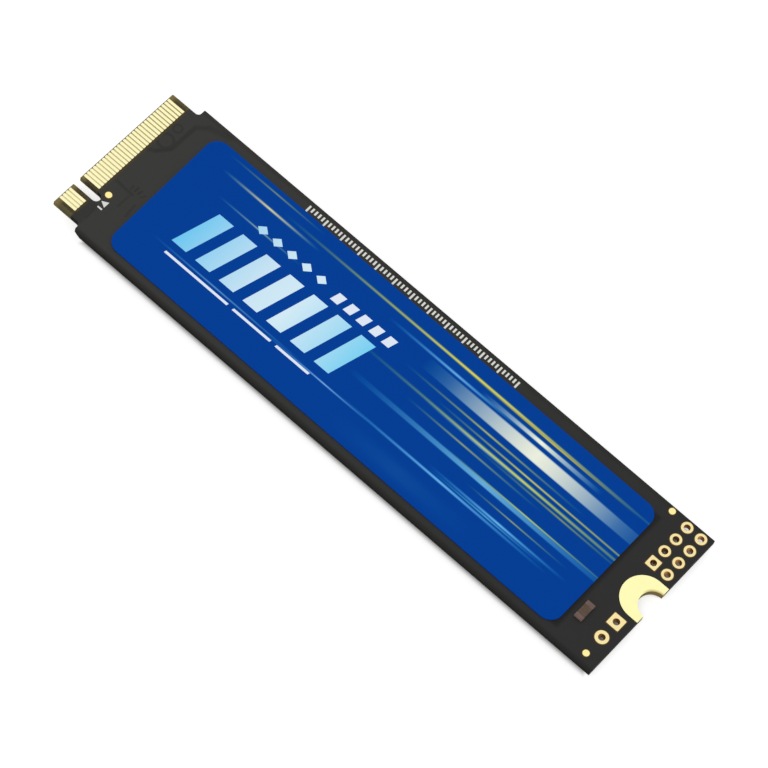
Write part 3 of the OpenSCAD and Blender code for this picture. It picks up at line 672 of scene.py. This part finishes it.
def ribbon(path, width):
    """Outline of a strip of one width along a path of (u, v) points: the points moved half a width to each
    side, square to the mean direction of the two stretches that meet there."""
    track = np.array(path, float) + [EDGE_X, 0]
    steps = np.diff(track, axis=0)
    steps /= np.linalg.norm(steps, axis=1)[:, None]
    ahead = np.vstack([steps, steps[-1:]])
    behind = np.vstack([steps[:1], steps])
    mean = ahead + behind
    mean /= np.linalg.norm(mean, axis=1)[:, None]
    square = np.stack([-mean[:, 1], mean[:, 0]], 1) / (mean * ahead).sum(1)[:, None]
    return [tuple(p) for p in np.vstack([track + square * width / 2, (track - square * width / 2)[::-1]])]


# %% [markdown]
# In place of any lettering the label carries a plain motif: a row of leaning bars that
# run from sky blue through near white and back, thin rules below and a few lozenges above.
# Screen ink stands about a hundredth of a millimetre proud of the film.

# %% Label motif
INK_MM = 0.012
BAR_COUNT, BAR_START, BAR_STEP = 7, 12.6, 3.55
BAR_LOW, BAR_WIDTH, BAR_HEIGHT, BAR_LEAN = -4.2, 2.15, 6.3, 1.6
BARS = [bar(BAR_START + i * BAR_STEP, BAR_LOW, BAR_WIDTH, BAR_HEIGHT, BAR_LEAN) for i in range(BAR_COUNT)]
RULE_LOW, RULE_HEIGHT, RULE_LEAN = -5.95, 0.32, 0.08
RULE_SPANS = ((13.0, 9.4), (23.2, 5.6), (29.6, 4.9))
RULES = [bar(u, RULE_LOW, length, RULE_HEIGHT, RULE_LEAN) for u, length in RULE_SPANS]
SHORT_START, SHORT_STEP, SHORT_BAR = 30.0, 1.9, (3.0, 1.1, 1.35, 0.35)
RULES += [bar(SHORT_START + i * SHORT_STEP, *SHORT_BAR) for i in range(5)]
LOZENGE_U, LOZENGE_V, LOZENGE_HALF_U, LOZENGE_HALF_V = np.arange(19.0, 28.0, 2.2), 4.1, 0.75, 0.65
LOZENGES = [[(x - LOZENGE_HALF_U, LOZENGE_V), (x, LOZENGE_V - LOZENGE_HALF_V),
             (x + LOZENGE_HALF_U, LOZENGE_V), (x, LOZENGE_V + LOZENGE_HALF_V)] for x in LOZENGE_U + EDGE_X]


def gradient_ink():
    """Screen ink whose colour runs along the card: sky blue, near white at the middle, sky blue again."""
    made, tree, shader, coords = new_material("gradient_screen_ink", "#D7F0FF", 0.45, specular=0.05)
    x, _, _ = place_mm(tree, coords)
    share = ramp(tree, maths(tree, "SUBTRACT", x, EDGE_X), 12.0, 39.0, "LINEAR")
    bands = add(tree, "ValToRGB", {"Fac": share})
    stops = bands.color_ramp.elements
    stops[0].color = linear("#62C8F4")
    stops[1].color = linear("#62CFF4")
    for middle, hex_colour in ((0.42, "#CFE9F7"), (0.58, "#D7EFFA")):
        stops.new(middle).color = linear(hex_colour)
    grain = noise(tree, coords, 0.10)
    tone = mix(tree, product(tree, grain, 0.06), bands.outputs["Color"], linear("#3C8FC8"))
    tree.links.new(tone, shader.inputs["Base Color"])
    bump(tree, shader, grain, 0.002)
    return made


label_ink = gradient_ink()
white_ink = mottled("white_label_ink", "#E8F0FA", "#B4C8E4", 0.35, 0.5, 0.09, 0.003, specular=0.1)
silk_ink = mottled("white_board_ink", "#E6E5DD", "#A6A59E", 0.45, 0.6, 0.09, 0.003, specular=0.2)

prisms("label_bars", BARS, LABEL_Z, INK_MM, label_ink)
prisms("label_rules", RULES, LABEL_Z, INK_MM, white_ink)
prisms("label_lozenges", LOZENGES, LABEL_Z, INK_MM, label_ink)
print("label motif:", len(BARS), "bars,", len(RULES), "rules,", len(LOZENGES), "lozenges")


# %% [markdown]
# The board's own print is white epoxy ink, laid on by jet after the mask. Here it is a
# plain scale of short strokes along one long edge and an arrow beside the key notch. On
# the chip side, angle marks show where each large package sits, as an assembler needs them.

# %% Board print
SILK_MM = 0.015
STROKE_COUNT, STROKE_START, STROKE_STEP, STROKE_WIDTH = 61, 20.6, 0.52, 0.24
STROKE_LOW, STROKE_LENGTH, SHORTER_BY, LONG_EVERY = 9.5, 0.92, 0.3, 5
strokes = []
for i in range(STROKE_COUNT):
    cut = SHORTER_BY * (i % LONG_EVERY > 0)
    strokes.append(bar(STROKE_START + i * STROKE_STEP, STROKE_LOW + cut, STROKE_WIDTH, STROKE_LENGTH - cut))
prisms("board_scale", strokes, TOP_Z, SILK_MM, silk_ink)
arrow = [[(EDGE_X + 3.7, -6.1), (EDGE_X + 4.5, -6.55), (EDGE_X + 4.5, -5.65)], bar(3.85, -7.0, 0.65, 0.2)]
prisms("board_arrow", arrow, TOP_Z, SILK_MM, silk_ink)

PACKAGES = ["controller_mould"] + sorted(name for name in frame["nodes"] if name.startswith("flash_mould"))
MARK_GAP, MARK_ARM, MARK_WIDTH = 0.22, 1.3, 0.12
angle_marks = []
for package in PACKAGES:
    low, high = (np.array(corner)[:2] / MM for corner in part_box(package))
    middle, half = (low + high) / 2 - [EDGE_X, 0], (high - low) / 2 + MARK_GAP
    for along, across in ((-1, -1), (1, -1), (1, 1), (-1, 1)):
        corner = middle + half * [along, across]
        ends = corner - [along * MARK_ARM, 0], corner - [0, across * MARK_ARM]
        angle_marks.append(ribbon([ends[0], corner, ends[1]], MARK_WIDTH))
prisms("package_marks", angle_marks, UNDER_Z - SILK_MM, SILK_MM, silk_ink)
print("board print:", len(strokes), "strokes,", len(angle_marks), "angle marks")


# %% [markdown]
# The mask stops a hair short of every land, so a thin line of bare laminate shows round it.
# Each such line is a flat hoop that reaches in under its land. Its outer edge is a circle,
# or a square where the land is square: with angle t, a square of half width h is met at
# h / max(|cos t|, |sin t|). In each group of drilled lands the square one is the nearest to
# the card's middle line and, of two such, the one nearer the tongue.

# %% Mask openings
OPENING_MM = 0.09
OPENING_LIFT_MM = 0.004
HOOP_CORNERS = 64
HEADER_INNER_MM, JUMPER_INNER_MM, DOT_INNER_MM = 0.50, 0.52, 0.2
SCREW_END_U = 80
PAD_ARC_DEGREES = (91.5, 268.5)
UNDER_PAD_MM = 0.08
opening_gap = mottled("bare_laminate_line", "#6B4F22", "#4A3719", 0.6, 0.6, 0.20, 0.003, specular=0.1)


def hoops(name, rings, material):
    """Closed hoops from rings of points (n, levels, round, 3): the last level joins the first again."""
    count, levels, around, _ = rings.shape
    grid = np.arange(count * levels * around).reshape(count, levels, around)
    over = np.roll(grid, -1, 1)
    sides = np.stack([grid, np.roll(grid, -1, 2), np.roll(over, -1, 2), over], -1).reshape(-1, 4)
    return mesh_piece(name, rings.reshape(-1, 3), sides, material)


def openings(name, boxes, square, inner_mm):
    """Hoops round lands with the given boxes, on both faces of the board or on the one the land is on."""
    turn = np.linspace(0, 2 * np.pi, HOOP_CORNERS + 1)[:-1]
    middle = boxes.mean(1)[:, None, :2]
    half = (boxes[:, 1, 0] - boxes[:, 0, 0])[:, None] / 2 + OPENING_MM
    outer = np.where(square[:, None], half / np.maximum(np.abs(np.cos(turn)), np.abs(np.sin(turn))), half)
    inner = np.full_like(outer, inner_mm)
    rings = []
    for face, lift, there in ((TOP_Z, OPENING_LIFT_MM, boxes[:, 1, 2] > TOP_Z),
                              (UNDER_Z, -OPENING_LIFT_MM, boxes[:, 0, 2] < UNDER_Z)):
        for reach, z in ((outer, face), (outer, face + lift), (inner, face + lift), (inner, face)):
            round_it = np.stack([np.cos(turn), np.sin(turn)], -1)[None] * reach[..., None]
            rings.append(np.concatenate([middle + round_it, np.full(reach.shape + (1,), z)], -1)[there])
    grouped = [np.stack(rings[k:k + 4], 1) for k in (0, 4)]
    return hoops(name, np.concatenate(grouped), opening_gap)


opening_count = 0
for node, inner_mm in (("board_header_eyelets", HEADER_INNER_MM), ("board_jumper_eyelets", JUMPER_INNER_MM)):
    boxes = solids_of(node)
    opening_count += len(boxes)
    spots = boxes.mean(1)
    square = np.arange(len(boxes)) == np.lexsort((spots[:, 0], np.abs(spots[:, 1]).round(2)))[0]
    openings(node.replace("eyelets", "openings"), boxes, square, inner_mm)
for side in ("label_side", "chip_side"):
    boxes = solids_of("locating_dots_" + side)
    opening_count += len(boxes)
    openings("locating_dot_openings_" + side, boxes, np.zeros(len(boxes), bool), DOT_INNER_MM)
pad_low, pad_high = (np.array(corner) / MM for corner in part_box("screw_pad_label_side"))
arc = np.radians(np.linspace(*PAD_ARC_DEGREES, 60))
edge_r = (pad_high - pad_low)[1] / 2 + OPENING_MM / 2 - UNDER_PAD_MM / 2
arc_path = np.stack([SCREW_END_U + edge_r * np.cos(arc), edge_r * np.sin(arc)], 1)
pad_hoop = [ribbon(arc_path, OPENING_MM + UNDER_PAD_MM)]
for side, base_z in (("label_side", TOP_Z), ("chip_side", UNDER_Z - OPENING_LIFT_MM)):
    prisms("screw_pad_opening_" + side, pad_hoop, base_z, OPENING_LIFT_MM, opening_gap)
    opening_count += 1
print("mask openings round", opening_count, "lands")


# %% [markdown]
# On the chip side single tracks stand up as faint ridges, and vias as small dimpled rings,
# all under the same mask. Tracks follow straight stretches with 45 degree corners, as
# routing tools lay them.

# %% Copper under the mask
TRACK_MM = 0.018
TRACK_WIDTH_MM = 0.13
PAIR_STRETCHES, PAIR_END_U = ((2.3, 5.2), (6.0, 8.75)), 7
BUS_STEP_MM = 0.6
UNDER_PACKAGE_MM = 0.3
FAR_END_U = 76.2
VIA_EDGE_V = 10.62
track_mask = mottled("mask_over_track", "#3A3A38", "#454340", 0.5, 0.45, 0.35, 0.004, specular=0.15)

flash_boxes = np.array([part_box(name) for name in PACKAGES[1:]]) / MM
flash_ends = np.sort(flash_boxes[:, 0, 0]) - EDGE_X
flash_width = flash_boxes[0, 1, 0] - flash_boxes[0, 0, 0]
controller_box = np.array(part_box("controller_mould")) / MM
pair_spots = solids_of("small_capacitor_bodies").mean(1)
pair_v = pair_spots[pair_spots[:, 0] < EDGE_X + PAIR_END_U][:, 1]
tracks = [[(start, v), (end, v)] for start, end in PAIR_STRETCHES for v in pair_v]
bus_v = np.arange(-6.3, 6.4, BUS_STEP_MM)
gaps = [(controller_box[1, 0] - EDGE_X - UNDER_PACKAGE_MM, flash_ends[0] + UNDER_PACKAGE_MM)]
gaps += [(start + flash_width - UNDER_PACKAGE_MM, start + flash_width + 1.1) for start in flash_ends[:-1]]
tracks += [[(start, v), (end, v)] for start, end in gaps for v in bus_v]
far = flash_ends[-1] + flash_width - UNDER_PACKAGE_MM
tracks += [[(far, v - 0.9), (far + 2.2, v - 0.9), (far + 3.1, v), (FAR_END_U, v)] for v in (4.03, 6.03, 8.03)]
tracks += [[(far, 9.2), (far + 3.2, 9.2), (far + 3.9, 9.9), (FAR_END_U, 9.9)]]
prisms("chip_side_tracks", [ribbon(path, TRACK_WIDTH_MM) for path in tracks], UNDER_Z - TRACK_MM, TRACK_MM,
       track_mask)


def vias(name, spots, material):
    """Tented vias: a low ring with a dimple. The profile gives each level's radius and height in
    millimetres."""
    profile = np.array([(0.24, 0.0), (0.23, 0.014), (0.18, 0.020), (0.12, 0.012), (0.05, 0.004)])
    turn = np.linspace(0, 2 * np.pi, 25)[:-1]
    spots = np.asarray(spots, float)[:, None, None]
    x = EDGE_X + spots[..., 0] + profile[None, :, None, 0] * np.cos(turn)
    y = spots[..., 1] + profile[None, :, None, 0] * np.sin(turn)
    z = np.broadcast_to(UNDER_Z - profile[None, :, None, 1], x.shape)
    return stacks(name, np.stack([x, y, z], -1), material)


via_spots = [(u, side * VIA_EDGE_V) for u in np.arange(6.0, 72.0, 3.3) for side in (-1, 1)]
via_spots += [(21.4, v) for v in np.arange(-7.7, 7.8, 1.1) if abs(v / 2.2 - round(v / 2.2 - 0.5) - 0.5) > 0.4]
via_spots += [(far + 2.9, v) for v in (-8.6, -7.8, -7.0, -6.2, -5.4)]
vias("chip_side_vias", via_spots, track_mask)
print(len(tracks), "tracks,", len(via_spots), "vias")


# %% [markdown]
# Fired chip parts, pressed inductors and moulded packages all have slightly rounded edges,
# and those edges catch the light. Plain blocks with the corners of the card's solids are
# rounded by a bevel. Packages with a dimple are rounded copies of their solids.

# %% Rounded parts
EDGE_ROUNDING_MM = {
    "small_capacitor_bodies": 0.02, "small_capacitor_ends": 0.05,
    "resistor_bodies": 0.012, "resistor_ends": 0.03,
    "bulk_capacitor_bodies": 0.03, "bulk_capacitor_ends": 0.08,
    "inductor_bodies": 0.08, "inductor_ends": 0.06,
    "marker_body": 0.02, "marker_ends": 0.05,
    "crystal_base": 0.05, "memory_chip_body": 0.05, "regulator_body": 0.07,
}
PACKAGE_ROUNDING_MM = 0.045
for node, width in EDGE_ROUNDING_MM.items():
    stand_in(soften(blocks(node + "_rounded", solids_of(node), finishes[slots[node]]), width), node)
for node in PACKAGES + ["power_chip_body", "crystal_lid"]:
    points, faces = merged_copy(node)
    piece = mesh_piece(node + "_rounded", points, faces, finishes[slots[node]])
    stand_in(soften(piece, PACKAGE_ROUNDING_MM), node)
print(len(EDGE_ROUNDING_MM) + len(PACKAGES) + 2, "nodes rounded")


# %% [markdown]
# Reflow solder climbs each metal end and leaves a hollow fillet between it and the land.
# Its section is a quarter of an ellipse that curves inwards, and it narrows towards both
# corners of the part. The land under it is a thin tinned rectangle.

# %% Solder fillets
FILLET_REACH_MM = 0.2
LAND_MARGIN_MM = 0.03
LAND_MM = 0.02


def fillet_rings(ends, outward, rise_share=0.62, reach=FILLET_REACH_MM, steps=7, arc=6):
    """Rings of one fillet per metal end. With angle a from 0 to 90 degrees, a point stands reach (1 - cos a)
    out from the end and rise (1 - sin a) down from the board. Across the end, s from -1 to 1, the reach is
    multiplied by (1 - s^6 * 0.8)."""
    middle, size = ends.mean(1), ends[:, 1] - ends[:, 0]
    face = middle[:, :2] + outward * size[:, :2] / 2
    sideways = outward[:, ::-1]
    width = (np.abs(sideways) * size[:, :2]).sum(1)
    rise = rise_share * size[:, 2]
    angle = np.radians(np.linspace(0, 90, arc))
    out = np.concatenate([[0], 1 - np.cos(angle)])[None, None]
    down = np.concatenate([[0], 1 - np.sin(angle)])[None, None]
    s = np.linspace(-1, 1, steps)[None, :, None]
    taper = 1 - 0.8 * s ** 6
    flat = (face[:, None, None] + (reach * out * taper)[..., None] * outward[:, None, None]
            + (0.48 * width[:, None, None] * s)[..., None] * sideways[:, None, None]
            + np.zeros_like(out)[..., None])
    z = UNDER_Z - rise[:, None, None] * down * np.ones_like(s)
    return np.concatenate([flat, z[..., None]], -1)


fillets, lands = [], []
for part in ("small_capacitor", "resistor", "bulk_capacitor", "inductor"):
    bodies, ends = solids_of(part + "_bodies"), solids_of(part + "_ends")
    away = ends.mean(1)[:, None, :2] - bodies.mean(1)[None, :, :2]
    nearest = np.linalg.norm(away, axis=2).argmin(1)
    away = away[np.arange(len(ends)), nearest]
    main = np.abs(away).argmax(1)
    outward = np.zeros_like(away)
    outward[np.arange(len(ends)), main] = np.sign(away[np.arange(len(ends)), main])
    fillets.append(fillet_rings(ends, outward))
    flat = ends[:, :, :2].copy()
    flat[:, 0] += np.minimum(outward, 0) * FILLET_REACH_MM - LAND_MARGIN_MM
    flat[:, 1] += np.maximum(outward, 0) * FILLET_REACH_MM + LAND_MARGIN_MM
    heights = np.broadcast_to([UNDER_Z - LAND_MM, UNDER_Z], (len(ends), 2))
    lands.append(np.concatenate([flat, heights[..., None]], -1))
fillets, lands = np.concatenate(fillets), np.concatenate(lands)
stacks("solder_fillets", fillets, finishes["solder"])
blocks("chip_lands", lands, finishes["tin_end"])
print(len(fillets), "fillets and lands")


# %% [markdown]
# Under the large packages each ball has melted into a squat barrel between two lands:
# narrow at both ends, widest half-way. Its radius at height share t is
# r (0.82 + 0.30 sin(pi t)), with r the radius of the solid it stands for.

# %% Melted balls
BALL_END, BALL_BULGE = 0.82, 0.30
share = np.linspace(0, 1, 6)
turn = np.linspace(0, 2 * np.pi, 13)[:-1]
for node in sorted(name for name in frame["nodes"] if "_balls" in name):
    boxes = solids_of(node)
    low, high = boxes[:, 0], boxes[:, 1]
    middle = (low + high) / 2
    form = BALL_END + BALL_BULGE * np.sin(np.pi * share)
    radius = (high - low)[:, 0, None, None] / 2 * form[None, :, None]
    x = middle[:, 0, None, None] + radius * np.cos(turn)
    y = middle[:, 1, None, None] + radius * np.sin(turn)
    z = low[:, 2, None, None] + (high - low)[:, 2, None, None] * share[None, :, None] + 0 * x
    stand_in(stacks(node + "_melted", np.stack([x, y, z], -1), finishes["solder"]), node)
    print(node, len(boxes))
